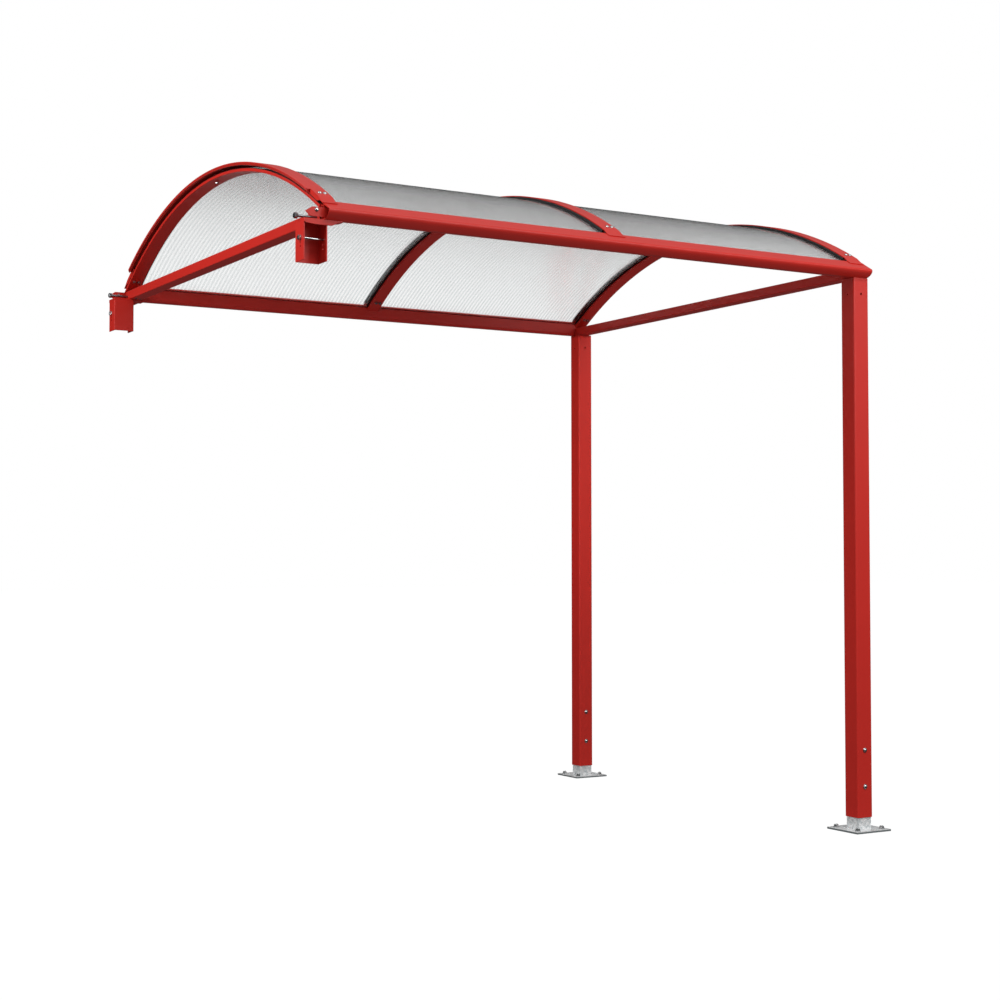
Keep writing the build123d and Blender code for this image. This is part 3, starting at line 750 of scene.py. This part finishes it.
# light from below fills the undersides without glossing them
fromBelow = addNode(sky, "ShaderNodeMath", {"operation": "MULTIPLY_ADD"}, {
    0: rays["Is Diffuse Ray"], 1: studio["below"] - studio["sheen"], 2: studio["sheen"]})
near, far = studio["horizonBand"]
falling = addNode(sky, "ShaderNodeMapRange", {}, {
    "Value": height, "From Min": near, "From Max": far, "To Min": fromBelow.outputs[0], "To Max": 0.0})
below = addNode(sky, "ShaderNodeMath", {"operation": "LESS_THAN"}, {0: height, 1: 0.0})
strength = addNode(sky, "ShaderNodeMix", {}, {
    "Factor": below.outputs[0], "A": rising.outputs["Result"], "B": falling.outputs["Result"]})
glow = addNode(sky, "ShaderNodeBackground", {}, {"Strength": strength.outputs["Result"]})
backdrop = addNode(sky, "ShaderNodeBackground", {}, {"Strength": 1.0})
for background in (glow, backdrop):
    background.inputs["Color"].default_value = linearColour(studio["colour"])
through = addNode(sky, "ShaderNodeMath", {"operation": "MAXIMUM"}, {
    0: rays["Is Camera Ray"], 1: rays["Is Transmission Ray"]})
both = addNode(sky, "ShaderNodeMixShader", {}, {
    0: through.outputs[0], 1: glow.outputs[0], 2: backdrop.outputs[0]})
addNode(sky, "ShaderNodeOutputWorld", {}, {"Surface": both.outputs[0]})


# the lamps light all but the sheets, which would mirror them as white patches; the sheets still shade the frame;
# one small lamp lights the back post alone
frameOnly = bpy.data.collections.new("frameOnly")
for thing in scene.objects:
    if thing.type == "MESH" and not thing.name.endswith("RoofSheet"):
        frameOnly.objects.link(thing)
postOnly = bpy.data.collections.new("postOnly")
postOnly.objects.link(bpy.data.objects["backPost"])


def addSoftbox(name, box):
    # an area light at its place, turned so that its back points away from what it is aimed at
    light = bpy.data.lights.new(name, "AREA")
    light.shape = "RECTANGLE"
    light.size, light.size_y = box["size"]
    light.energy = box["power"]
    light.spread = np.radians(box["spread"])
    lamp = bpy.data.objects.new(name, light)
    bpy.context.collection.objects.link(lamp)
    back = np.array(box["place"]) - np.array(box["aim"])
    back /= np.linalg.norm(back)
    side = np.cross((0.0, 0.0, 1.0), back)
    side /= np.linalg.norm(side)
    axes = np.stack([side, np.cross(back, side), back], 1)
    lamp.matrix_world = Matrix([(*row, p) for row, p in zip(axes, box["place"])] + [(0, 0, 0, 1)])
    lamp.visible_camera = False
    lamp.visible_transmission = False
    lamp.visible_glossy = box["glossy"]
    lamp.light_linking.receiver_collection = bpy.data.collections[box["lights"]]


for name, box in softboxes.items():
    addSoftbox(name, box)

view = {"lens": 61.708, "sensor": 36.0, "yaw": 30.40824, "pitch": 2.05059, "roll": -0.04006,
        "place": (-4.95649, -5.47450, 1.12516), "farClip": 200.0}


def addCamera(look):
    # yaw turns from +Y towards +X, pitch lifts the axis, roll turns the picture about it
    yaw, pitch, roll = (np.radians(look[name]) for name in ("yaw", "pitch", "roll"))
    ahead = np.array([np.sin(yaw) * np.cos(pitch), np.cos(yaw) * np.cos(pitch), np.sin(pitch)])
    level = np.array([np.cos(yaw), -np.sin(yaw), 0.0])
    upright = np.cross(level, ahead)
    side = np.cos(roll) * level + np.sin(roll) * upright
    up = np.cross(side, ahead)
    lens = bpy.data.cameras.new("photoCamera")
    lens.lens = look["lens"]
    lens.sensor_width = look["sensor"]
    lens.clip_end = look["farClip"]
    camera = bpy.data.objects.new("photoCamera", lens)
    bpy.context.collection.objects.link(camera)
    axes = np.stack([side, up, -ahead], 1)
    camera.matrix_world = Matrix([(*row, p) for row, p in zip(axes, look["place"])] + [(0, 0, 0, 1)])
    bpy.context.scene.camera = camera


addCamera(view)
print("stage set")
